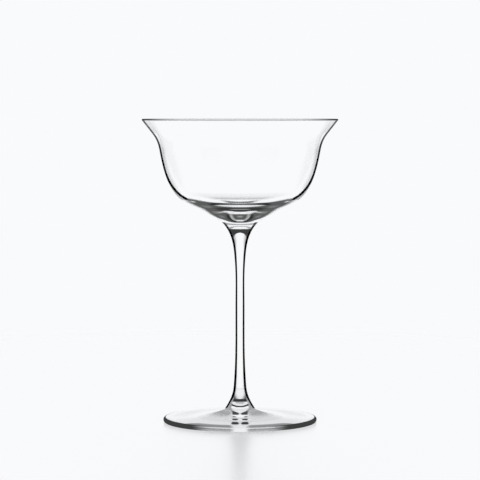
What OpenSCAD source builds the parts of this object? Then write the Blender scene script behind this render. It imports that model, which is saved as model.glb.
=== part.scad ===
// Coupe glass: a shallow flared bowl on a drawn stem and a round foot.
// It stands on z = 0 with its axis on Z. Each piece is a solid of revolution, and every
// outline is a chain of smooth curves through a few stations. A station is
// [radius, height, heading], where the heading is the angle of the outline's run there.

/* [Bowl] */
// Outside diameter of the rim
rim_d = 100; // [94:0.5:108]
// Height of the bowl from its seat on the stem to the top of the rim
bowl_h = 52.5; // [48:0.5:60]
// Outside diameter at the top of the upright wall, where the flare starts
wall_d = 82.2; // [74:0.2:88]
// Height of the top of the upright wall above the seat
wall_h = 37; // [32:0.5:42]
// Outside diameter where the sloping underside turns up into the wall
cone_d = 56.4; // [48:0.2:64]
// Height above the seat at which the sloping underside turns up
cone_h = 10.2; // [8:0.1:13]
// Height of the inside floor above the seat, on the axis
floor_h = 6.4; // [5:0.1:9]

/* [Glass thickness] */
// Thickness of the upright wall
wall_t = 0.8; // [0.6:0.05:1.4]
// Thickness of the fire-polished rim
rim_t = 0.9; // [0.6:0.05:1.4]
// Thickness at the hip, between underside and wall
hip_t = 1.6; // [1:0.05:2.2]
// Thickness at the top of the sloping underside, where the solid base begins
cone_t = 1.6; // [1.2:0.05:2.4]

/* [Stem] */
// Length of the stem between its two seats, measured at their edges
stem_h = 96.2; // [70:0.5:120]
// Diameter of the stem at its waist
waist_d = 4.6; // [3.6:0.1:6.5]
// Diameter of the seat that carries the bowl
bowl_seat_d = 18.6; // [15:0.2:24]
// Diameter of the seat on the foot
foot_seat_d = 16; // [13:0.2:22]
// Depth of the dish in the top of the stem that holds the bowl
bowl_dish = 1.2; // [0.4:0.1:2]
// Depth of the dish in the bottom of the stem that sits on the foot's crown
foot_dish = 0.8; // [0.3:0.1:1.4]

/* [Foot] */
// Diameter of the foot
foot_d = 78.6; // [70:0.2:90]
// Height of the crown's edge, where the stem ends
crown_h = 6.4; // [5.2:0.1:9]
// Thickness of the foot at its rounded edge
edge_t = 2.6; // [1.8:0.1:3.6]
// Width of the flat ring that the glass rests on
ring_w = 2; // [1:0.1:4]
// Height of the hollow under the foot, on the axis
hollow_h = 1.6; // [0.6:0.1:2.6]

/* [Angles] */
// Heading of the inside over the top of the sloping underside
floor_angle = 25; // [16:1:32]
// Heading of the bowl's outline at the hip, between underside and wall
hip_angle = 53; // [45:1:62]
// Heading of the bowl's outline at the top of the upright wall
wall_angle = 79; // [72:0.5:86]
// Heading of the bowl's outline through the flare and at the rim
flare_angle = 52.5; // [48:0.5:62]
// Heading of the stem's outline where it leaves the foot
stem_foot_angle = 124; // [112:1:135]
// Heading of the stem's outline where it meets the bowl
stem_bowl_angle = 47; // [40:1:60]
// Slope of the foot's top where it leaves the stem
crown_slope = 22; // [14:1:28]
// Slope of the foot's top at its edge
edge_slope = 5; // [3:0.5:8]

/* [Hidden] */
$fn = 96;
// Steps along one curve of an outline, and along a seat or a rounded edge
curve_steps = 9;
arc_steps = 8;
// Each curve's handles, as a share of the distance between its two stations
reach_share = 0.34;
stem_reach_share = 0.38;

rim_r = rim_d / 2;
wall_r = wall_d / 2;
cone_r = cone_d / 2;
bowl_seat_r = bowl_seat_d / 2;
foot_seat_r = foot_seat_d / 2;
waist_r = waist_d / 2;
foot_r = foot_d / 2;
edge_r = edge_t / 2;
stem_z = crown_h;
bowl_z = crown_h + stem_h;

// Where the hip and the flare lie between the stations beside them, in radius and height
hip_shares = [0.39, 0.165];
flare_shares = [0.36, 0.49];
// The stem's necks: their radius against the waist's, and their height along the stem
lower_neck_shares = [1.37, 0.13];
upper_neck_shares = [1.23, 0.82];
waist_h_share = 0.535;

// Direction of a heading, and the side of the outline that lies to its right
function along(angle) = [cos(angle), sin(angle)];
function right_of(angle) = [sin(angle), -cos(angle)];

function point_of(station) = [station[0], station[1]];

// A point between two others, at its own share of each coordinate
function between(p, q, shares) =
    [p[0] + shares[0] * (q[0] - p[0]), p[1] + shares[1] * (q[1] - p[1])];

// Cubic curve from one station to the next; the first point is left to the curve before it
function curve(from, to, share) =
    let (
        p = point_of(from),
        q = point_of(to),
        reach = share * norm(q - p),
        c = p + reach * along(from[2]),
        d = q - reach * along(to[2])
    )
    [for (i = [1 : curve_steps])
        let (t = i / curve_steps, s = 1 - t)
        s * s * s * p + 3 * s * s * t * c + 3 * s * t * t * d + t * t * t * q];

// Smooth outline through a list of stations
function outline(stations, share) = [
    point_of(stations[0]),
    for (i = [1 : len(stations) - 1])
        each curve(stations[i - 1], stations[i], share)
];

// Arc about a centre, from one angle to another, with both ends
function arc(centre, radius, from, to) =
    [for (i = [0 : arc_steps]) centre + radius * along(from + (to - from) * i / arc_steps)];

// Shallow dome from the axis out to its edge, which is level with z; rise is its height on the axis
function dome(edge, z, rise) =
    let (radius = (edge * edge + rise * rise) / (2 * rise), spread = asin(edge / radius))
    [for (p = arc([0, z + rise - radius], radius, 90, 90 - spread)) p];

function flip(points) = [for (i = [len(points) - 1 : -1 : 0]) points[i]];
function mirrored(points, z) = [for (p = points) [p[0], 2 * z - p[1]]];

// The two seats. Each is drawn once, in its own height, for the two pieces that meet in it.
function bowl_seat(z) = mirrored(dome(bowl_seat_r, z, bowl_dish), z);
function foot_seat(z) = dome(foot_seat_r, z, foot_dish);

// Outside of the bowl, from the edge of its seat to the rim. The lip's centre lies half its
// thickness inside the rim's diameter and height.
lip_r = rim_t / 2;
lip_centre = [rim_r - lip_r, bowl_h - lip_r];
cone_angle = atan2(cone_h, cone_r - bowl_seat_r);
cone_point = [cone_r, cone_h];
wall_point = [wall_r, wall_h];
hip_point = between(cone_point, wall_point, hip_shares);
flare_point = between(wall_point, [rim_r, bowl_h], flare_shares);

function station(p, angle) = [p[0], p[1], angle];

bowl_outside = [
    station([bowl_seat_r, 0], cone_angle),
    station(cone_point, cone_angle),
    station(hip_point, hip_angle),
    station(wall_point, wall_angle),
    station(flare_point, flare_angle),
    station(lip_centre + lip_r * right_of(flare_angle), flare_angle)
];

// Inside of the bowl, from the floor to the rim: the outside set in by the glass thickness,
// which grows into the solid base below the hip.
function set_in(p, angle, t) = station(p - t * right_of(angle), angle);

bowl_inside = [
    station([0, floor_h], 0),
    station(cone_point - cone_t * right_of(cone_angle), floor_angle),
    set_in(hip_point, hip_angle, hip_t),
    set_in(wall_point, wall_angle, wall_t),
    set_in(flare_point, flare_angle, wall_t),
    station(lip_centre - lip_r * right_of(flare_angle), flare_angle)
];

module bowl() {
    color("aliceblue", 0.35)
        translate([0, 0, bowl_z])
            rotate_extrude()
                polygon(concat(
                    bowl_seat(0),
                    outline(bowl_outside, reach_share),
                    arc(lip_centre, lip_r, flare_angle - 90, flare_angle + 90),
                    flip(outline(bowl_inside, reach_share))));
}

// Side of the stem, from the foot up to the bowl
stem_side = [
    [foot_seat_r, 0, stem_foot_angle],
    [waist_r * lower_neck_shares[0], stem_h * lower_neck_shares[1], 94],
    [waist_r, stem_h * waist_h_share, 90],
    [waist_r * upper_neck_shares[0], stem_h * upper_neck_shares[1], 85],
    [bowl_seat_r, stem_h, stem_bowl_angle]
];

module stem() {
    color("aliceblue", 0.45)
        translate([0, 0, stem_z])
            rotate_extrude()
                polygon(concat(
                    foot_seat(0),
                    outline(stem_side, stem_reach_share),
                    flip(bowl_seat(stem_h))));
}

// Top of the foot, from the edge of the crown to the rounded edge
edge_centre = [foot_r - edge_r, edge_r];
foot_top = [
    [foot_seat_r, crown_h, -crown_slope],
    station(edge_centre + edge_r * along(90 - edge_slope), -edge_slope)
];

module foot() {
    color("aliceblue", 0.45)
        rotate_extrude()
            polygon(concat(
                foot_seat(crown_h),
                outline(foot_top, reach_share),
                arc(edge_centre, edge_r, 90 - edge_slope, -90),
                flip(dome(foot_r - edge_r - ring_w, 0, hollow_h))));
}

foot();
stem();
bowl();
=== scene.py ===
"""Looks of the coupe glass: three fused pieces of clear glass in a bright-field studio."""
import math

import bpy
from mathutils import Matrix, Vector


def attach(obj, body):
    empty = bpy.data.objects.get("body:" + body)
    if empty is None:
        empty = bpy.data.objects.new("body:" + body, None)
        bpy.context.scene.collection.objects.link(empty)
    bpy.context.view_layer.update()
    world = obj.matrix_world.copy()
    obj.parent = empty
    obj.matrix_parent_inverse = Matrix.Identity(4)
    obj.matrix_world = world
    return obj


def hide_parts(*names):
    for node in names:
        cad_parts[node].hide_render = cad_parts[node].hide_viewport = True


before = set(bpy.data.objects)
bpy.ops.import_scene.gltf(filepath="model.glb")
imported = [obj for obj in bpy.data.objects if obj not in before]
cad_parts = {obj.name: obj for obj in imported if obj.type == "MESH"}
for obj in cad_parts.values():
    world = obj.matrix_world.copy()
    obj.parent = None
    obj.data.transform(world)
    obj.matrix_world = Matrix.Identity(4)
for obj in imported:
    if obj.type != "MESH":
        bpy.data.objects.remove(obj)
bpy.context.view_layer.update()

MM = 0.001

# Driving sizes of the glass in millimetres, the same as the CAD model's
RIM_D = 100
BOWL_H = 52.5
WALL_D = 82.2
WALL_H = 37
CONE_D = 56.4
CONE_H = 10.2
FLOOR_H = 6.4
WALL_T = 0.8
RIM_T = 0.9
HIP_T = 1.6
CONE_T = 1.6
STEM_H = 96.2
WAIST_D = 4.6
BOWL_SEAT_D = 18.6
FOOT_SEAT_D = 16
BOWL_DISH = 1.2
FOOT_DISH = 0.8
FOOT_D = 78.6
CROWN_H = 6.4
EDGE_T = 2.6
RING_W = 2
HOLLOW_H = 1.6

# Headings of the outlines in degrees, the same as the CAD model's
FLOOR_ANGLE = 25
HIP_ANGLE = 53
WALL_ANGLE = 79
FLARE_ANGLE = 52.5
STEM_FOOT_ANGLE = 124
LOWER_NECK_ANGLE = 94
WAIST_ANGLE = 90
UPPER_NECK_ANGLE = 85
STEM_BOWL_ANGLE = 47
CROWN_SLOPE = 22
EDGE_SLOPE = 5

# Shape shares, the same as the CAD model's
REACH_SHARE = 0.34
STEM_REACH_SHARE = 0.38
HIP_SHARES = (0.39, 0.165)
FLARE_SHARES = (0.36, 0.49)
LOWER_NECK_SHARES = (1.37, 0.13)
UPPER_NECK_SHARES = (1.23, 0.82)
WAIST_H_SHARE = 0.535

# How finely the meshes follow those curves
CURVE_STEPS = 22
SEAT_STEPS = 10
EDGE_STEPS = 14
BOWL_SEGMENTS = 224
STEM_SEGMENTS = 96
FOOT_SEGMENTS = 192

# Height of the bowl's seat over the floor
BOWL_Z = CROWN_H + STEM_H


def along(angle):
    """Direction of a heading."""
    a = math.radians(angle)
    return Vector((math.cos(a), math.sin(a)))


def right_of(angle):
    """Direction to the right of a heading, which is outwards on the bowl."""
    a = math.radians(angle)
    return Vector((math.sin(a), -math.cos(a)))


def between(p, q, shares):
    """Point at these shares of the way across and up from one point to another."""
    return Vector((p[0] + shares[0] * (q[0] - p[0]), p[1] + shares[1] * (q[1] - p[1])))


def curve(start, end, share):
    """Points of the cubic from one station, (point, heading), to the next, without the first."""
    p, q = Vector(start[0]), Vector(end[0])
    reach = share * (q - p).length
    c = p + reach * along(start[1])
    d = q - reach * along(end[1])
    points = []
    for i in range(1, CURVE_STEPS + 1):
        t = i / CURVE_STEPS
        s = 1 - t
        points.append(s ** 3 * p + 3 * s * s * t * c + 3 * s * t * t * d + t ** 3 * q)
    return points


def outline(stations, share):
    """Points of a smooth line through the stations, with handles of that share."""
    points = [Vector(stations[0][0])]
    for start, end in zip(stations, stations[1:]):
        points += curve(start, end, share)
    return points


def arc(centre, radius, start, end, steps):
    """Points of an arc from one heading to another as seen from its centre, with both ends."""
    return [centre + radius * along(start + (end - start) * i / steps) for i in range(steps + 1)]


def dome(edge, z, rise, steps=SEAT_STEPS):
    """Shallow dome from the axis out to its edge at height z."""
    radius = (edge * edge + rise * rise) / (2 * rise)
    spread = math.degrees(math.asin(edge / radius))
    points = arc(Vector((0, z + rise - radius)), radius, 90, 90 - spread, steps)
    points[0].x = 0
    return points


def bowl_seat(z):
    """Rounded underside of the bowl, and the dish in the stem's top that takes it."""
    return [Vector((p.x, 2 * z - p.y)) for p in dome(BOWL_SEAT_D / 2, z, BOWL_DISH)]


def foot_seat(z):
    """Rounded top of the foot's crown, and the dish in the stem's bottom that sits on it."""
    return dome(FOOT_SEAT_D / 2, z, FOOT_DISH)


def bowl_outline():
    """Runs of the bowl's outline from the axis round to the axis."""
    lip_r = RIM_T / 2
    lip = Vector((RIM_D / 2 - lip_r, BOWL_H - lip_r))
    cone = Vector((CONE_D / 2, CONE_H))
    wall = Vector((WALL_D / 2, WALL_H))
    hip = between(cone, wall, HIP_SHARES)
    flare = between(wall, (RIM_D / 2, BOWL_H), FLARE_SHARES)
    cone_angle = math.degrees(math.atan2(CONE_H, CONE_D / 2 - BOWL_SEAT_D / 2))
    outside = [
        ((BOWL_SEAT_D / 2, 0), cone_angle),
        (cone, cone_angle),
        (hip, HIP_ANGLE),
        (wall, WALL_ANGLE),
        (flare, FLARE_ANGLE),
        (lip + lip_r * right_of(FLARE_ANGLE), FLARE_ANGLE),
    ]
    inside = [
        ((0, FLOOR_H), 0),
        (cone - CONE_T * right_of(cone_angle), FLOOR_ANGLE),
        (hip - HIP_T * right_of(HIP_ANGLE), HIP_ANGLE),
        (wall - WALL_T * right_of(WALL_ANGLE), WALL_ANGLE),
        (flare - WALL_T * right_of(FLARE_ANGLE), FLARE_ANGLE),
        (lip - lip_r * right_of(FLARE_ANGLE), FLARE_ANGLE),
    ]
    outer = outline(outside, REACH_SHARE)
    hip_step = 2 * CURVE_STEPS
    return [
        ("seam", bowl_seat(0)),
        ("base", outer[: hip_step + 1]),
        ("wall", outer[hip_step:]),
        ("lip", arc(lip, lip_r, FLARE_ANGLE - 90, FLARE_ANGLE + 90, EDGE_STEPS)),
        ("inside", outline(inside, REACH_SHARE)[::-1]),
    ]


def stem_outline():
    """Runs of the stem's outline from the axis round to the axis."""
    waist = WAIST_D / 2
    side = [
        ((FOOT_SEAT_D / 2, 0), STEM_FOOT_ANGLE),
        ((waist * LOWER_NECK_SHARES[0], STEM_H * LOWER_NECK_SHARES[1]), LOWER_NECK_ANGLE),
        ((waist, STEM_H * WAIST_H_SHARE), WAIST_ANGLE),
        ((waist * UPPER_NECK_SHARES[0], STEM_H * UPPER_NECK_SHARES[1]), UPPER_NECK_ANGLE),
        ((BOWL_SEAT_D / 2, STEM_H), STEM_BOWL_ANGLE),
    ]
    return [
        ("seam", foot_seat(0)),
        ("outside", outline(side, STEM_REACH_SHARE)),
        ("seam", bowl_seat(STEM_H)[::-1]),
    ]


def foot_outline():
    """Runs of the foot's outline from the axis round to the axis."""
    edge_r = EDGE_T / 2
    edge = Vector((FOOT_D / 2 - edge_r, edge_r))
    top = [
        ((FOOT_SEAT_D / 2, CROWN_H), -CROWN_SLOPE),
        (edge + edge_r * along(90 - EDGE_SLOPE), -EDGE_SLOPE),
    ]
    crown = outline(top, REACH_SHARE)
    rim = arc(edge, edge_r, 90 - EDGE_SLOPE, -90, EDGE_STEPS)
    hollow = dome(FOOT_D / 2 - edge_r - RING_W, 0, HOLLOW_H, 2 * SEAT_STEPS)
    return [
        ("under", hollow + [rim[-1]]),
        ("edge", rim[::-1]),
        ("top", crown[::-1]),
        ("seam", foot_seat(CROWN_H)[::-1]),
    ]


# Runs of an outline that go on smoothly from the run before them
SMOOTH_RUNS = ("wall", "lip", "inside")
# A point of an outline nearer to the axis than this, in millimetres, lies on it
ON_AXIS = 1e-9


def lathe(name, runs, lift, segments, materials):
    """Closed surface of revolution. Runs of the outline carry a material each and meet in a
    sharp ring, unless they go on smoothly. The first and last points lie on the axis."""
    points = [runs[0][1][0]]
    run_of_step = []
    corners = []
    for label, run in runs:
        if run_of_step and label not in SMOOTH_RUNS:
            corners.append(len(points) - 1)
        points += run[1:]
        run_of_step += [label] * (len(run) - 1)
    verts = []
    rings = []
    for p in points:
        z = (p.y + lift) * MM
        if p.x < ON_AXIS:
            rings.append([len(verts)])
            verts.append((0, 0, z))
            continue
        rings.append(list(range(len(verts), len(verts) + segments)))
        for k in range(segments):
            a = 2 * math.pi * k / segments
            verts.append((p.x * math.cos(a) * MM, p.x * math.sin(a) * MM, z))
    faces = []
    slots = []
    order = list(materials)
    for lower, upper, label in zip(rings, rings[1:], run_of_step):
        for k in range(segments):
            n = (k + 1) % segments
            if len(lower) == 1:
                faces.append((lower[0], upper[n], upper[k]))
            elif len(upper) == 1:
                faces.append((lower[k], lower[n], upper[0]))
            else:
                faces.append((lower[k], lower[n], upper[n], upper[k]))
            slots.append(order.index(label))
    mesh = bpy.data.meshes.new(name)
    mesh.from_pydata(verts, [], faces)
    for material in materials.values():
        mesh.materials.append(material)
    mesh.polygons.foreach_set("material_index", slots)
    mesh.polygons.foreach_set("use_smooth", [True] * len(faces))
    sharp = set()
    for c in corners:
        ring = rings[c]
        sharp |= {frozenset(pair) for pair in zip(ring, ring[1:] + ring[:1])}
    for edge in mesh.edges:
        edge.use_edge_sharp = frozenset(edge.vertices) in sharp
    mesh.update()
    return add_object(name, mesh)


def add_object(name, data):
    """New object in the scene."""
    obj = bpy.data.objects.new(name, data)
    bpy.context.scene.collection.objects.link(obj)
    return obj


# Linear values of the backdrop's pale blue-white
BACKDROP = (0.947, 0.956, 0.973, 1)
WHITE = (1, 1, 1, 1)
BLACK = (0, 0, 0, 1)
GLASS_IOR = 1.52
# The blend of a Layer Weight at which its Facing falls evenly with the cosine of the view
EVEN_BLEND = 0.5


class Graph:
    """A node tree as it is built. An input is given as a value or as another node's output."""

    def __init__(self, tree):
        self.nodes = tree.nodes
        self.links = tree.links
        self.nodes.clear()

    def add(self, kind, inputs=None, **settings):
        """New node of a kind, with inputs by their names or numbers."""
        node = self.nodes.new("ShaderNode" + kind)
        for name, value in settings.items():
            setattr(node, name, value)
        for name, value in (inputs or {}).items():
            if isinstance(value, bpy.types.NodeSocket):
                self.links.new(value, node.inputs[name])
            else:
                node.inputs[name].default_value = value
        return node

    def math(self, operation, *values):
        return self.add("Math", dict(enumerate(values)), operation=operation).outputs[0]

    def times(self, *values):
        return self.math("MULTIPLY", *values)

    def minus(self, *values):
        return self.math("SUBTRACT", *values)

    def step(self, value, low, high, to_low=0.0, to_high=1.0):
        """Smooth passage from one level to the other between two values."""
        inputs = {
            "Value": value,
            "From Min": low,
            "From Max": high,
            "To Min": to_low,
            "To Max": to_high,
        }
        return self.add("MapRange", inputs, interpolation_type="SMOOTHSTEP").outputs["Result"]

    def mix(self, factor, a, b, **settings):
        """Value or colour a at factor 0 and b at factor 1."""
        inputs = {"Factor": factor, "A": a, "B": b}
        return self.add("Mix", inputs, **settings).outputs["Result"]

    def mix_shaders(self, factor, first, second):
        return self.add("MixShader", {0: factor, 1: first, 2: second}).outputs[0]

    def split(self, vector):
        """The X, Y and Z of a vector."""
        return self.add("SeparateXYZ", {0: vector}).outputs

    def glow(self, colour, strength=1.0):
        return self.add("Emission", {"Color": colour, "Strength": strength}).outputs[0]

    def ramp(self, value, stops, unit=1):
        """Colour between the stops (position, colour), straight from one to the next. The
        positions are in this unit of the value."""
        low, high = stops[0][0], stops[-1][0]
        inputs = {"Value": value, "From Min": low * unit, "From Max": high * unit}
        share = self.add("MapRange", inputs).outputs["Result"]
        node = self.add("ValToRGB", {"Fac": share})
        elements = node.color_ramp.elements
        while len(elements) < len(stops):
            elements.new(0.5)  # the positions follow
        for element, (position, colour) in zip(elements, stops):
            element.position = (position - low) / (high - low)
        for element, (position, colour) in zip(elements, stops):
            element.color = (*colour, 1)
        return node.outputs["Color"]

    def level_ramp(self, value, stops):
        """Level between the stops (position, level) of a value."""
        return self.ramp(value, [(position, (level,) * 3) for position, level in stops])

    def facing(self, normal=None):
        """0 where the glass is seen along the normal and 1 where it is seen across it."""
        inputs = {"Blend": EVEN_BLEND}
        if normal:
            inputs["Normal"] = normal
        return self.add("LayerWeight", inputs).outputs["Facing"]

    def root_of_rest(self, value, least=0.0):
        """Root of 1 less the value's square, and of no less than the least."""
        rest = self.math("MULTIPLY_ADD", self.times(value, value), -1.0, 1.0)
        return self.math("SQRT", self.math("MAXIMUM", rest, least))


def new_material(name):
    """Empty material, with the graph of its nodes."""
    material = bpy.data.materials.new(name)
    material.use_nodes = True
    return material, Graph(material.node_tree)


def backdrop_at(level):
    """The backdrop's colour at a share of its brightness."""
    return [level * c for c in BACKDROP[:3]] + [1]


# Painted shade: dark outlines painted on the glass where its edges would show dark surroundings.
# How dark they are, in rows of: height in metres, facing values from and to which they are dark,
# share. A facing of 0 is the middle of the glass and 1 its silhouette.
PAST_EDGE = 1.1
BOWL_EDGES = (
    (0.1026, 0.34, 0.40, 0.0),
    (0.1136, 0.36, 0.50, 0.0),
    (0.1145, 0.43, 0.58, 1.0),
    (0.1154, 0.445, 0.61, 1.0),
    (0.1159, 0.47, 0.64, 1.0),
    (0.1169, 0.53, 0.70, 1.0),
    (0.1179, 0.565, 0.735, 1.0),
    (0.1190, 0.60, 0.765, 1.0),
    (0.1200, 0.62, 0.80, 1.0),
    (0.1220, 0.665, 0.86, 1.0),
    (0.1247, 0.70, 1.0, 1.0),
    (0.1275, 0.725, PAST_EDGE, 1.0),
    (0.1350, 0.745, PAST_EDGE, 1.0),
    (0.1480, 0.75, PAST_EDGE, 0.9),
    (0.1560, 0.75, PAST_EDGE, 0.8),
)
STEM_EDGES = (
    (0.0064, 0.55, PAST_EDGE, 0.0),
    (0.0069, 0.55, PAST_EDGE, 0.0),
    (0.0073, 0.53, PAST_EDGE, 1.0),
    (0.0105, 0.45, PAST_EDGE, 1.0),
    (0.0135, 0.26, PAST_EDGE, 1.0),
    (0.0175, 0.20, PAST_EDGE, 1.0),
    (0.0250, 0.165, PAST_EDGE, 1.0),
    (0.0550, 0.175, PAST_EDGE, 1.0),
    (0.0850, 0.20, PAST_EDGE, 1.0),
    (0.0940, 0.26, PAST_EDGE, 1.0),
    (0.0980, 0.34, PAST_EDGE, 1.0),
    (0.1026, 0.40, PAST_EDGE, 0.9),
)
PAINTED_EDGES = {
    ("bowl", "base"): BOWL_EDGES,
    ("bowl", "wall"): BOWL_EDGES,
    ("stem", "outside"): STEM_EDGES,
}
EDGE_SOFTNESS = 0.05
# How dark a painted outline still is past the facing value to which it reaches
OUTER_EDGE_LEVEL = 0.5

# Painted light and shade: light and dark bands painted on the glass where the thick glass would
# refract dark surroundings, each with its darkness and softness and rows of: height in
# millimetres, sideways places from and to which it reaches, share. The place is 0 in the middle
# of the glass and 1 at its silhouette. MID lies before the one and OUT past the other.
MID = -0.2
OUT = 1.3
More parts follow.
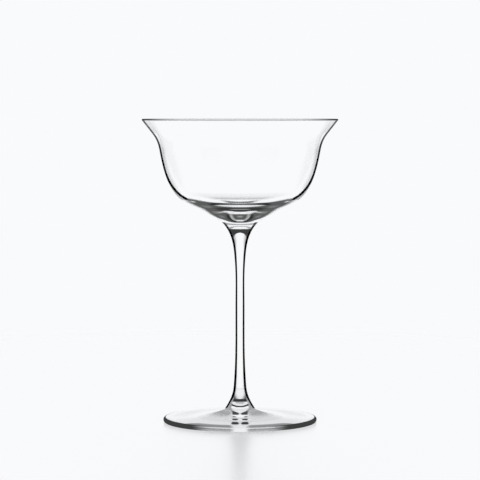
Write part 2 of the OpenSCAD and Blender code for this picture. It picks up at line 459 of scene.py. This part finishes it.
# Lowest place that the tables can hold, and how far they reach from it
PLACE_LOW = -0.5
PLACE_SPAN = 2.0
PAINTED_BANDS = {
    ("bowl", "base"): (
        (0.4, 0.15, (
            (114.96, MID, 0.327, 0), (115.13, MID, 0.39, 0.5), (115.44, MID, 0.418, 0.9),
            (115.84, MID, 0.477, 1), (116.26, MID, 0.534, 0.6), (116.71, MID, 0.621, 0.35),
            (117.22, MID, 0.706, 0.22), (117.22, MID, 0.767, 0),
        )),
        (0.89, 0.08, (
            (102.6, MID, 0.11, 0), (102.6, MID, 0.329, 0.95), (103.11, MID, 0.572, 1),
            (103.8, MID, 0.664, 1), (104.35, MID, 0.752, 1), (104.98, MID, 0.837, 1),
            (106.61, MID, 0.868, 1), (108.28, MID, 0.848, 1), (109.92, MID, 0.837, 1),
            (111.56, MID, 0.905, 1), (112.63, MID, 0.914, 1), (113.02, MID, 0.918, 1),
            (113.34, 0.28, 0.911, 1), (113.65, 0.5, 0.914, 1), (114.08, 0.609, 0.913, 1),
            (114.61, 0.695, 0.91, 0.95), (115.13, 0.78, 0.91, 0.8),
            (115.68, 0.814, 0.91, 0),
        )),
        (0.955, 0.1, (
            (108.99, MID, 0.434, 0), (109.33, MID, 0.515, 1), (110.63, MID, 0.506, 1),
            (110.97, MID, 0.452, 0),
        )),
        (0.78, 0.06, (
            (107.12, 0.548, 0.722, 0), (107.66, 0.492, 0.71, 1), (108.45, 0.481, 0.709, 1),
            (108.95, 0.581, 0.702, 0),
        )),
        (0.8, 0.05, (
            (104.98, 0.521, 0.669, 0), (105.53, 0.52, 0.675, 1), (106.24, 0.54, 0.683, 1),
            (106.74, 0.571, 0.691, 0),
        )),
        (0.8, 0.05, (
            (110.29, 0.606, 0.736, 0), (110.84, 0.581, 0.747, 1), (111.52, 0.592, 0.77, 1),
            (111.94, 0.632, 0.786, 0),
        )),
        (0.4, 0.03, (
            (113.11, 0.772, 0.825, 0), (113.42, 0.776, 0.846, 1), (113.86, 0.785, 0.853, 1),
            (114.16, 0.792, 0.842, 0),
        )),
        (0.98, 0.06, (
            (111.94, 0.192, 0.536, 0), (112.2, 0.188, 0.565, 0.9),
            (112.76, 0.218, 0.562, 1), (113.08, 0.249, 0.515, 0.9),
            (113.28, 0.246, 0.457, 0),
        )),
        (0.84, 0.06, (
            (113.28, MID, 0.176, 0), (113.5, MID, 0.208, 0.9), (113.93, MID, 0.238, 1),
            (114.29, 0.134, 0.268, 0.9), (114.61, 0.199, 0.331, 0.6),
            (114.96, 0.245, 0.327, 0),
        )),
        (0.02, 0.12, (
            (111.14, MID, 0.122, 0), (111.35, MID, 0.26, 0.9), (111.82, MID, 0.425, 1),
            (112.24, MID, 0.413, 1), (112.46, MID, 0.259, 0),
        )),
        (0.72, 0.08, (
            (110.76, MID, 0.146, 0), (110.97, MID, 0.144, 1), (111.22, MID, 0.161, 1),
            (111.35, MID, 0.16, 0),
        )),
        (0.96, 0.08, (
            (110.25, MID, 0.652, 0), (110.5, MID, 0.554, 0.8), (110.76, MID, 0.459, 0.8),
            (110.97, 0.164, 0.411, 0),
        )),
        (0.7, 0.08, (
            (109.66, MID, 0.182, 0), (109.87, MID, 0.201, 1), (110.13, MID, 0.197, 1),
            (110.29, MID, 0.173, 0),
        )),
        (0.96, 0.08, (
            (108.95, MID, 0.194, 0), (109.12, MID, 0.238, 0.8), (109.41, MID, 0.558, 0.9),
            (109.66, 0.182, 0.547, 0),
        )),
        (0, 0.05, (
            (107.28, MID, 0.227, 0), (107.45, MID, 0.279, 0.9), (107.78, MID, 0.324, 1),
            (108.45, MID, 0.354, 1), (108.66, 0.124, 0.422, 0.9),
            (108.99, 0.217, 0.41, 0.7), (109.2, 0.237, 0.379, 0),
        )),
        (0.35, 0.06, (
            (107.99, 0.344, 0.582, 0), (108.24, 0.336, 0.568, 1), (108.45, 0.329, 0.532, 1),
            (108.66, 0.348, 0.497, 0),
        )),
        (0.97, 0.05, (
            (102.6, MID, 0.164, 0), (102.6, MID, 0.219, 0.8), (103.03, MID, 0.303, 0.9),
            (103.58, 0.183, 0.39, 1), (104.14, 0.273, 0.42, 1), (104.68, 0.31, 0.465, 1),
            (105.53, 0.329, 0.45, 1), (106.91, 0.325, 0.398, 1), (107.37, 0.309, 0.38, 0),
        )),
        (0.58, 0.035, (
            (103.37, MID, 0.143, 0), (103.75, MID, 0.245, 1), (104.26, 0.157, 0.301, 1),
            (104.9, 0.214, 0.324, 1), (105.65, 0.225, 0.324, 1), (106.61, 0.225, 0.311, 1),
            (107.24, 0.217, 0.302, 0.8), (107.45, 0.223, 0.307, 0),
        )),
        (0.1, 0.05, (
            (103.2, MID, 0.098, 0), (103.46, MID, 0.164, 0.8), (103.84, MID, 0.176, 1),
            (104.18, MID, 0.125, 0.4), (104.43, MID, 0.08, 0),
        )),
        (0.7, 0.04, (
            (105.32, MID, 0.05, 0), (105.69, MID, 0.075, 0.9), (106.36, MID, 0.094, 1),
            (106.61, MID, 0.061, 0),
        )),
    ),
    ("bowl", "wall"): (
        (0.4, 0.15, (
            (114.96, MID, 0.327, 0), (115.13, MID, 0.39, 0.5), (115.44, MID, 0.418, 0.9),
            (115.84, MID, 0.477, 1), (116.26, MID, 0.534, 0.6), (116.71, MID, 0.621, 0.35),
            (117.63, MID, 0.7, 0.22), (118.85, MID, 0.742, 0),
        )),
        (0.13, 0.012, (
            (119.6, 0.886, 0.937, 0.3), (122.63, 0.903, 0.952, 0.9),
            (127.67, 0.924, 0.971, 1), (135.09, 0.93, 0.97, 1), (142.47, 0.922, 0.966, 1),
            (147.89, 0.905, 0.944, 0.8), (154.38, 0.884, OUT, 0.6),
        )),
        (0.27, 0.006, (
            (119.6, 0.908, 0.937, 0.3), (122.63, 0.924, 0.952, 0.9),
            (127.67, 0.944, 0.971, 1), (135.09, 0.949, 0.971, 1), (142.47, 0.95, 0.967, 1),
            (147.89, 0.928, 0.946, 0.8), (154.38, 0.92, OUT, 0.4),
        )),
    ),
    ("stem", "outside"): (
        (0.35, 0.25, (
            (13.72, 0.618, OUT, 0), (15.7, 0.625, OUT, 1), (18.72, 0.58, OUT, 1),
            (22.81, 0.581, OUT, 0.9), (29.38, 0.713, OUT, 0.5), (37.17, 0.779, OUT, 0),
        )),
        (0.45, 0.2, (
            (82.18, 0.788, OUT, 0), (88.37, 0.63, OUT, 0.7), (92.5, 0.498, OUT, 1),
            (95.61, 0.484, OUT, 1), (97.69, 0.44, OUT, 1), (99.26, 0.381, OUT, 0),
        )),
        (0.92, 0.3, (
            (12.14, 0.324, OUT, 0), (12.43, 0.355, OUT, 1), (13.22, 0.451, OUT, 1),
            (14.69, 0.664, OUT, 0.9), (16.7, 0.928, OUT, 0.6), (18.72, 1.127, OUT, 0),
        )),
        (0.96, 0.06, (
            (10.55, MID, 0.559, 0), (10.74, MID, 0.797, 0.6), (10.98, MID, 0.902, 1),
            (11.94, MID, OUT, 1), (12.19, MID, OUT, 0.9), (12.33, 0.275, OUT, 0.85),
            (12.53, 0.447, OUT, 0),
        )),
        (0.45, 0.08, (
            (9.83, MID, 0.261, 0), (10.12, MID, 0.358, 1), (10.69, MID, 0.472, 1),
            (10.89, MID, 0.577, 0),
        )),
        (0.98, 0.05, (
            (8.18, MID, 0.224, 0), (8.37, MID, 0.334, 0.9), (8.67, MID, 0.515, 1),
            (8.86, MID, 0.667, 1), (9.01, 0.242, 0.773, 1), (9.25, 0.445, 0.906, 1),
            (9.49, 0.59, 1.011, 1), (9.78, 0.71, 1.109, 1), (10.21, 0.803, 1.174, 1),
            (10.5, 0.872, 1.206, 0),
        )),
        (0.55, 0.05, (
            (6.5, 0.386, 0.643, 1), (7.22, 0.534, 0.889, 1), (7.93, 0.67, 1.02, 1),
            (8.62, 0.621, 0.932, 1), (9.11, 0.715, 0.935, 0.6), (9.64, 0.812, 0.94, 0),
        )),
        (0.62, 0.06, (
            (101.26, MID, 0.752, 0), (101.45, MID, 0.86, 0.9), (101.77, MID, 0.953, 1),
            (102.03, 0.522, 1.045, 1), (102.28, 0.735, 1.018, 1), (102.47, 0.777, 0.999, 0),
        )),
        (0.6, 0.05, (
            (99.13, 0.694, 1.002, 0.9), (99.65, 0.587, 0.88, 1), (100.1, 0.442, 0.772, 1),
            (100.36, 0.308, 0.685, 0.9), (100.49, MID, 0.541, 0.8),
            (100.75, MID, 0.395, 0.8), (100.88, MID, 0.195, 0),
        )),
        (0.95, 0.06, (
            (90.94, 1.047, OUT, 0), (93.58, 0.794, OUT, 0.5), (95.12, 0.655, OUT, 0.8),
            (96.15, 0.503, OUT, 0.95), (96.69, 0.404, OUT, 1), (97.03, 0.262, OUT, 1),
            (97.29, 0.091, OUT, 1), (97.49, MID, OUT, 1), (98.94, MID, OUT, 1),
            (99.2, MID, OUT, 0.8), (99.39, MID, OUT, 0),
        )),
    ),
    ("foot", "top"): (
        (0.17, 0.1, (
            (2.82, MID, 0.934, 0.8), (3.02, MID, 0.933, 1), (3.6, MID, 0.93, 1),
            (4.7, MID, 0.989, 1), (5.9, MID, 1.205, 1), (6.35, MID, 1.256, 0.6),
        )),
        (0.58, 0.12, (
            (3.83, 0.613, OUT, 0), (4.39, 0.48, OUT, 0.4), (4.85, 0.418, OUT, 0.8),
            (5.35, 0.418, OUT, 1), (5.9, 0.466, OUT, 1), (6.4, 0.51, OUT, 0.8),
        )),
        (0, 0.05, (
            (4.32, MID, 0.1, 0), (4.6, MID, 0.22, 1), (4.88, MID, 0.342, 1),
            (5.04, MID, 0.338, 0),
        )),
        (0.93, 0.05, (
            (4.98, 0.104, 0.29, 0), (5.14, 0.07, 0.34, 1), (5.54, 0.029, 0.388, 1),
            (5.86, 0.108, 0.433, 1), (6.04, 0.199, 0.467, 1), (6.26, 0.305, 0.537, 0.9),
            (6.4, 0.382, 0.593, 0.7), (6.4, 0.478, 0.606, 0.6),
        )),
        (0.75, 0.03, (
            (4.14, 0.126, 0.22, 0), (4.29, 0.133, 0.252, 0.8), (4.54, 0.144, 0.274, 1),
            (4.73, 0.154, 0.292, 0),
        )),
        (0.97, 0.03, (
            (3.46, 0.094, 0.164, 0), (3.62, 0.056, 0.198, 1), (3.86, 0.056, 0.22, 1),
            (3.98, 0.089, 0.231, 0),
        )),
        (1, 0.02, (
            (2.9, 0.046, 0.107, 0), (2.98, 0.026, 0.138, 0.8), (3.08, 0.014, 0.158, 1),
            (3.22, 0.04, 0.16, 0.9), (3.32, 0.064, 0.171, 0),
        )),
        (0.72, 0.04, (
            (2.6, 0.107, 0.736, 1), (2.76, 0.113, 0.709, 1), (2.86, 0.134, 0.657, 0.8),
            (2.94, 0.188, 0.627, 0),
        )),
    ),
    ("bowl", "lip"): (
        (0.45, 0.1, (
            (150, MID, OUT, 1), (156, MID, OUT, 1),
        )),
        (1, 0.25, (
            (150, 0.82, OUT, 1), (156, 0.82, OUT, 1),
        )),
    ),
    ("foot", "edge"): (
        (0.72, 0.04, (
            (0, 0.1, OUT, 0.3), (0.3, 0.1, OUT, 0.5), (0.7, 0.1, OUT, 0.7),
            (1.2, 0.1, OUT, 0.8), (1.45, 0.1, OUT, 1), (1.65, 0.1, OUT, 1),
            (1.85, 0.1, OUT, 0.1), (2.15, 0.1, OUT, 0.1), (2.35, 0.1, OUT, 1),
            (2.6, 0.1, OUT, 1),
        )),
        (0.95, 0.15, (
            (0, 0.5, OUT, 0.8), (0.3, 0.5, OUT, 1), (2.6, 0.5, OUT, 1),
        )),
    ),
}
# Between these darknesses a painted band passes from see-through to an even field: the glass
# glows there with painted light in the backdrop's colour
DEEP = (0.35, 0.75)
# Bands on the foot's top fade where it is seen at a very flat angle, between these facing values
FLAT_FADE = {("foot", "top"): (0.82, 0.92)}
# Bands fade where they are seen from above, between these sines of the height
HIGH_FADE = {
    ("foot", "top"): (0.18, 0.34),
    ("stem", "outside"): (0.50, 0.80),
    ("bowl", "base"): (0.50, 0.80),
}
# Glass that is seen straight on is left without painted shade, which sets in between these facing
# values
HEAD_ON = (0.0002, 0.002)
# Painted reflection: how dark each piece is painted in the floor's soft sheen
PAINTED_REFLECTION_LEVELS = {"foot": 0.4, "stem": 0.52, "bowl": 0.3}
# Light that is still inside the glass after this many reflections ends there, where the glass
# glows with painted light in the backdrop's colour at these levels
TRAPPED_AFTER = 3.5
TRAPPED_PAINTED_GLOW = {"foot": 0.8, "stem": 0.8, "bowl": 0.95}
# Least square of the level share of a view, by whose root the turn to the side is divided, so
# that a view from straight above doesn't divide by zero
LEAST_LEVEL = 0.01


def view_of(graph, x, y):
    """How far the glass is turned to the side, 0 in its middle and 1 at its silhouette, whatever
    the height it is seen from, and the sine of that height."""
    sideways = graph.add("CombineXYZ", {"X": x, "Y": y}).outputs[0]
    radial = graph.add("VectorMath", {0: sideways}, operation="NORMALIZE").outputs[0]
    upward = graph.add("CombineXYZ", {"Z": 1.0}).outputs[0]
    across = graph.minus(1.0, graph.facing(radial))
    rise = graph.minus(1.0, graph.facing(upward))
    level = graph.root_of_rest(rise, LEAST_LEVEL)
    across = graph.math("MINIMUM", graph.math("DIVIDE", across, level), 1.0)
    return graph.minus(1.0, across), rise


def painted_edge_shade(graph, z, turn, rows):
    """Painted shade of the outlines where the glass is turned that far to the side."""
    heights, starts, ends, shares = zip(*rows)
    start = graph.level_ramp(z, list(zip(heights, starts)))
    end = graph.level_ramp(z, [(height, end / PAST_EDGE) for height, end in zip(heights, ends)])
    end = graph.times(end, PAST_EDGE)
    share = graph.level_ramp(z, list(zip(heights, shares)))
    inner = graph.step(graph.minus(turn, start), 0.0, EDGE_SOFTNESS)
    outer = graph.step(graph.minus(end, turn), -EDGE_SOFTNESS, 0.0, OUTER_EDGE_LEVEL)
    return graph.times(graph.times(inner, outer), share)


def band_mask(graph, z, side, rows, softness):
    """Share of a band at a height and a sideways place."""
    stops = []
    for height, start, end, share in rows:
        places = [(place - PLACE_LOW) / PLACE_SPAN for place in (start, end)]
        stops.append((height, (*places, share)))
    split = graph.add("SeparateColor", {0: graph.ramp(z, stops, MM)}).outputs
    start = graph.math("MULTIPLY_ADD", split[0], PLACE_SPAN, PLACE_LOW)
    end = graph.math("MULTIPLY_ADD", split[1], PLACE_SPAN, PLACE_LOW)
    after = graph.step(graph.minus(side, start), -softness, softness)
    before = graph.step(graph.minus(end, side), -softness, softness)
    return graph.times(graph.times(after, before), split[2])


def painted_band_shade(graph, node, run, z, turn, rise):
    """Painted shade and light of the bands outside the glass, each painted over those before it.
    """
    side = graph.root_of_rest(graph.minus(1.0, turn))
    dark = 0.0
    for darkness, softness, rows in PAINTED_BANDS[(node, run)]:
        dark = graph.mix(band_mask(graph, z, side, rows, softness), dark, darkness)
    surface = graph.add("NewGeometry").outputs
    dark = graph.times(dark, graph.minus(1.0, surface["Backfacing"]))
    if (node, run) in FLAT_FADE:
        steep = graph.step(graph.facing(), *FLAT_FADE[(node, run)], 1.0, 0.0)
        dark = graph.times(dark, steep)
    if (node, run) in HIGH_FADE:
        low = graph.step(rise, *HIGH_FADE[(node, run)], 1.0, 0.0)
        dark = graph.times(dark, low)
    return dark


def glass_material(node, run):
    """Clear glass of one run of a piece's outline, with painted light and shade: the outlines and
    the bands that dark flags beside the glass would draw in it, and a painted glow."""
    material, graph = new_material("clear_glass_%s_%s" % (node, run))
    path = graph.add("LightPath").outputs
    clear = graph.add("BsdfPrincipled", {
        "Base Color": WHITE,
        "Roughness": 0,
        "IOR": GLASS_IOR,
        "Transmission Weight": 1,
    }).outputs["BSDF"]
    # where light would stay trapped in the glass, it glows with painted light instead
    trapped = graph.math("GREATER_THAN", path["Glossy Depth"], TRAPPED_AFTER)
    glass = graph.mix_shaders(trapped, clear, graph.glow(backdrop_at(TRAPPED_PAINTED_GLOW[node])))
    if (node, run) in PAINTED_BANDS:
        x, y, z = graph.split(graph.add("TexCoord").outputs["Object"])
        turn, rise = view_of(graph, x, y)
        edge = 0.0
        if (node, run) in PAINTED_EDGES:
            # painted shade of the dark outlines
            edge = painted_edge_shade(graph, z, turn, PAINTED_EDGES[(node, run)])
        # painted light and shade of the bands
        bands = painted_band_shade(graph, node, run, z, turn, rise)
        aside = graph.step(graph.facing(), *HEAD_ON)
        deep = graph.times(graph.step(bands, *DEEP), aside)
        dark = graph.times(graph.math("MAXIMUM", edge, bands), aside)
        # a sharp reflection shows none of the painted shade, and in the floor's soft sheen the
        # piece is painted evenly dark, a painted reflection
        mirrored = graph.times(path["Is Glossy Ray"], path["Is Singular Ray"])
        dark = graph.times(dark, graph.minus(1.0, mirrored))
        soft = graph.minus(path["Is Glossy Ray"], mirrored)
        dark = graph.mix(soft, dark, PAINTED_REFLECTION_LEVELS[node])
        # where a band is deep, the glass glows evenly with painted light in the backdrop's colour
        glass = graph.mix_shaders(deep, glass, graph.glow(BACKDROP))
        # painted shade: a black refraction that lets no light through
        painted_shade_inputs = {"Color": BLACK, "Roughness": 0, "IOR": GLASS_IOR}
        glass = graph.mix_shaders(dark, glass, graph.add("BsdfRefraction", painted_shade_inputs).outputs[0])
    graph.add("OutputMaterial", {"Surface": glass})
    return material


def seam_material():
    """Where two pieces are fused there is glass on both sides, so nothing shows."""
    material, graph = new_material("fused_seam")
    clear = graph.add("BsdfTransparent").outputs["BSDF"]
    graph.add("OutputMaterial", {"Surface": clear})
    return material


# Metres and degrees, with the lens and the sensor in millimetres
CAMERA_DISTANCE = 1.150
CAMERA_HEIGHT = 0.1604
CAMERA_PITCH = 3.339
CAMERA_LENS = 169.15
CAMERA_SENSOR = 36
CAMERA_CLIP = (0.01, 20)


def make_camera():
    """A long lens a little above the rim, as in the photograph."""
    data = bpy.data.cameras.new("camera")
    data.lens = CAMERA_LENS
    data.sensor_width = CAMERA_SENSOR
    data.clip_start, data.clip_end = CAMERA_CLIP
    camera = add_object("camera", data)
    camera.location = (0, -CAMERA_DISTANCE, CAMERA_HEIGHT)
    camera.rotation_euler = (math.radians(90 - CAMERA_PITCH), 0, 0)
    bpy.context.scene.camera = camera


def sharp_ray(graph):
    """1 for a ray that left a clear surface, 0 for the camera's own and for scattered ones."""
    path = graph.add("LightPath").outputs
    return graph.times(path["Is Singular Ray"], graph.minus(1.0, path["Is Camera Ray"]))


# The studio that the glass shows: a dark band round the horizon, between these elevations in
# degrees, with a bright window in it behind each of the four sides, which ends between these
# angles to the side, and bright fields above and below it
BAND_LOW = (-10.0, -7.5)
BAND_HIGH = (10.0, 26.0)
WINDOW = (24.0, 36.0)
DARK_LEVEL = 0.5


def make_world():
    """The backdrop, even for the camera, with the studio's dark band where the glass shows it."""
    world = bpy.data.worlds.new("studio")
    bpy.context.scene.world = world
    world.use_nodes = True
    graph = Graph(world.node_tree)
    x, y, z = graph.split(graph.add("TexCoord").outputs["Generated"])
    # sideways angle from the nearest of the four axes, as a tangent
    x, y = graph.math("ABSOLUTE", x), graph.math("ABSOLUTE", y)
    side = graph.math("DIVIDE", graph.math("MINIMUM", x, y), graph.math("MAXIMUM", x, y))
    window = graph.step(side, *[math.tan(math.radians(a)) for a in WINDOW], 1.0, 0.0)
    below = graph.step(z, *[math.sin(math.radians(a)) for a in BAND_LOW], 1.0, 0.0)
    above = graph.step(z, *[math.sin(math.radians(a)) for a in BAND_HIGH])
    level = graph.math("MAXIMUM", graph.math("MAXIMUM", below, above), window)
    field = graph.mix(level, backdrop_at(DARK_LEVEL), BACKDROP, data_type="RGBA")
    shown = graph.mix(sharp_ray(graph), BACKDROP, field, data_type="RGBA")
    back = graph.add("Background", {"Color": shown}).outputs[0]
    graph.add("OutputWorld", {"Surface": back})


# The floor is a disc that fades into the backdrop between the radii of FLOOR_FADE. Clear glass
# shows only the patch of it under the foot, which fades between those of PATCH_FADE.
FLOOR_R = 0.6
FLOOR_SIDES = 96
FLOOR_FADE = (0.30, 0.55)
PATCH_FADE = (0.05, 0.07)
# How far it lies under the foot, so that the two don't share a plane
FLOOR_DROP = 0.00002
# Painted shadow on the floor under the foot, as the glass shows it, in rows of: radius in metres
# and brightness
PAINTED_SHADE_UNDER_FOOT = (
    (0.0, 0.75),
    (0.012, 0.8),
    (0.020, 0.88),
    (0.038, 0.9),
    (0.043, 0.95),
    (0.06, 0.75),
    (0.10, 0.7),
)
# Light that the glass has reflected at least once sees the painted shadow no darker than this
TURNED_AFTER = 0.5
TURNED_LEVEL = 0.9
SHEEN_SHARE = 0.7
SHEEN_ROUGHNESS = 0.28


def make_floor():
    """Back-lit white acrylic: it glows as the backdrop does and mirrors the glass softly."""
    verts = []
    for k in range(FLOOR_SIDES):
        a = 2 * math.pi * k / FLOOR_SIDES
        verts.append((FLOOR_R * math.cos(a), FLOOR_R * math.sin(a), 0))
    mesh = bpy.data.meshes.new("floor")
    mesh.from_pydata(verts, [], [tuple(range(FLOOR_SIDES))])
    floor = add_object("floor", mesh)
    floor.location.z = -FLOOR_DROP
    material, graph = new_material("pale_floor")
    spot = graph.add("TexCoord").outputs["Object"]
    radius = graph.add("VectorMath", {0: spot}, operation="LENGTH").outputs["Value"]
    sharp = sharp_ray(graph)
    path = graph.add("LightPath").outputs
    turned = graph.math("GREATER_THAN", path["Glossy Depth"], TURNED_AFTER)
    # painted shadow: the floor under the foot is darker as the glass shows it
    under = graph.level_ramp(radius, PAINTED_SHADE_UNDER_FOOT)
    under = graph.math("MAXIMUM", under, graph.times(turned, TURNED_LEVEL))
    glow = graph.glow(BACKDROP, graph.mix(sharp, 1.0, under))
    sheen = graph.add("BsdfGlossy", {"Roughness": SHEEN_ROUGHNESS, "Color": WHITE}).outputs[0]
    top = graph.mix_shaders(graph.times(SHEEN_SHARE, graph.minus(1.0, sharp)), glow, sheen)
    far = graph.step(radius, *FLOOR_FADE)
    near = graph.step(radius, *PATCH_FADE)
    fade = graph.math("MAXIMUM", far, graph.times(near, sharp))
    clear = graph.add("BsdfTransparent").outputs["BSDF"]
    graph.add("OutputMaterial", {"Surface": graph.mix_shaders(fade, top, clear)})
    mesh.materials.append(material)


make_camera()
make_world()
make_floor()

seam = seam_material()
for node, runs, lift, segments in (
    ("foot", foot_outline(), 0, FOOT_SEGMENTS),
    ("stem", stem_outline(), CROWN_H, STEM_SEGMENTS),
    ("bowl", bowl_outline(), BOWL_Z, BOWL_SEGMENTS),
):
    names = {run for run, _ in runs if run != "seam"}
    materials = {run: glass_material(node, run) for run in sorted(names)}
    materials["seam"] = seam
    piece = lathe(node + "_glass", runs, lift, segments, materials)
    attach(piece, "root")
    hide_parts(node)

bpy.context.scene.view_settings.view_transform = "Standard"

bpy.context.view_layer.update()
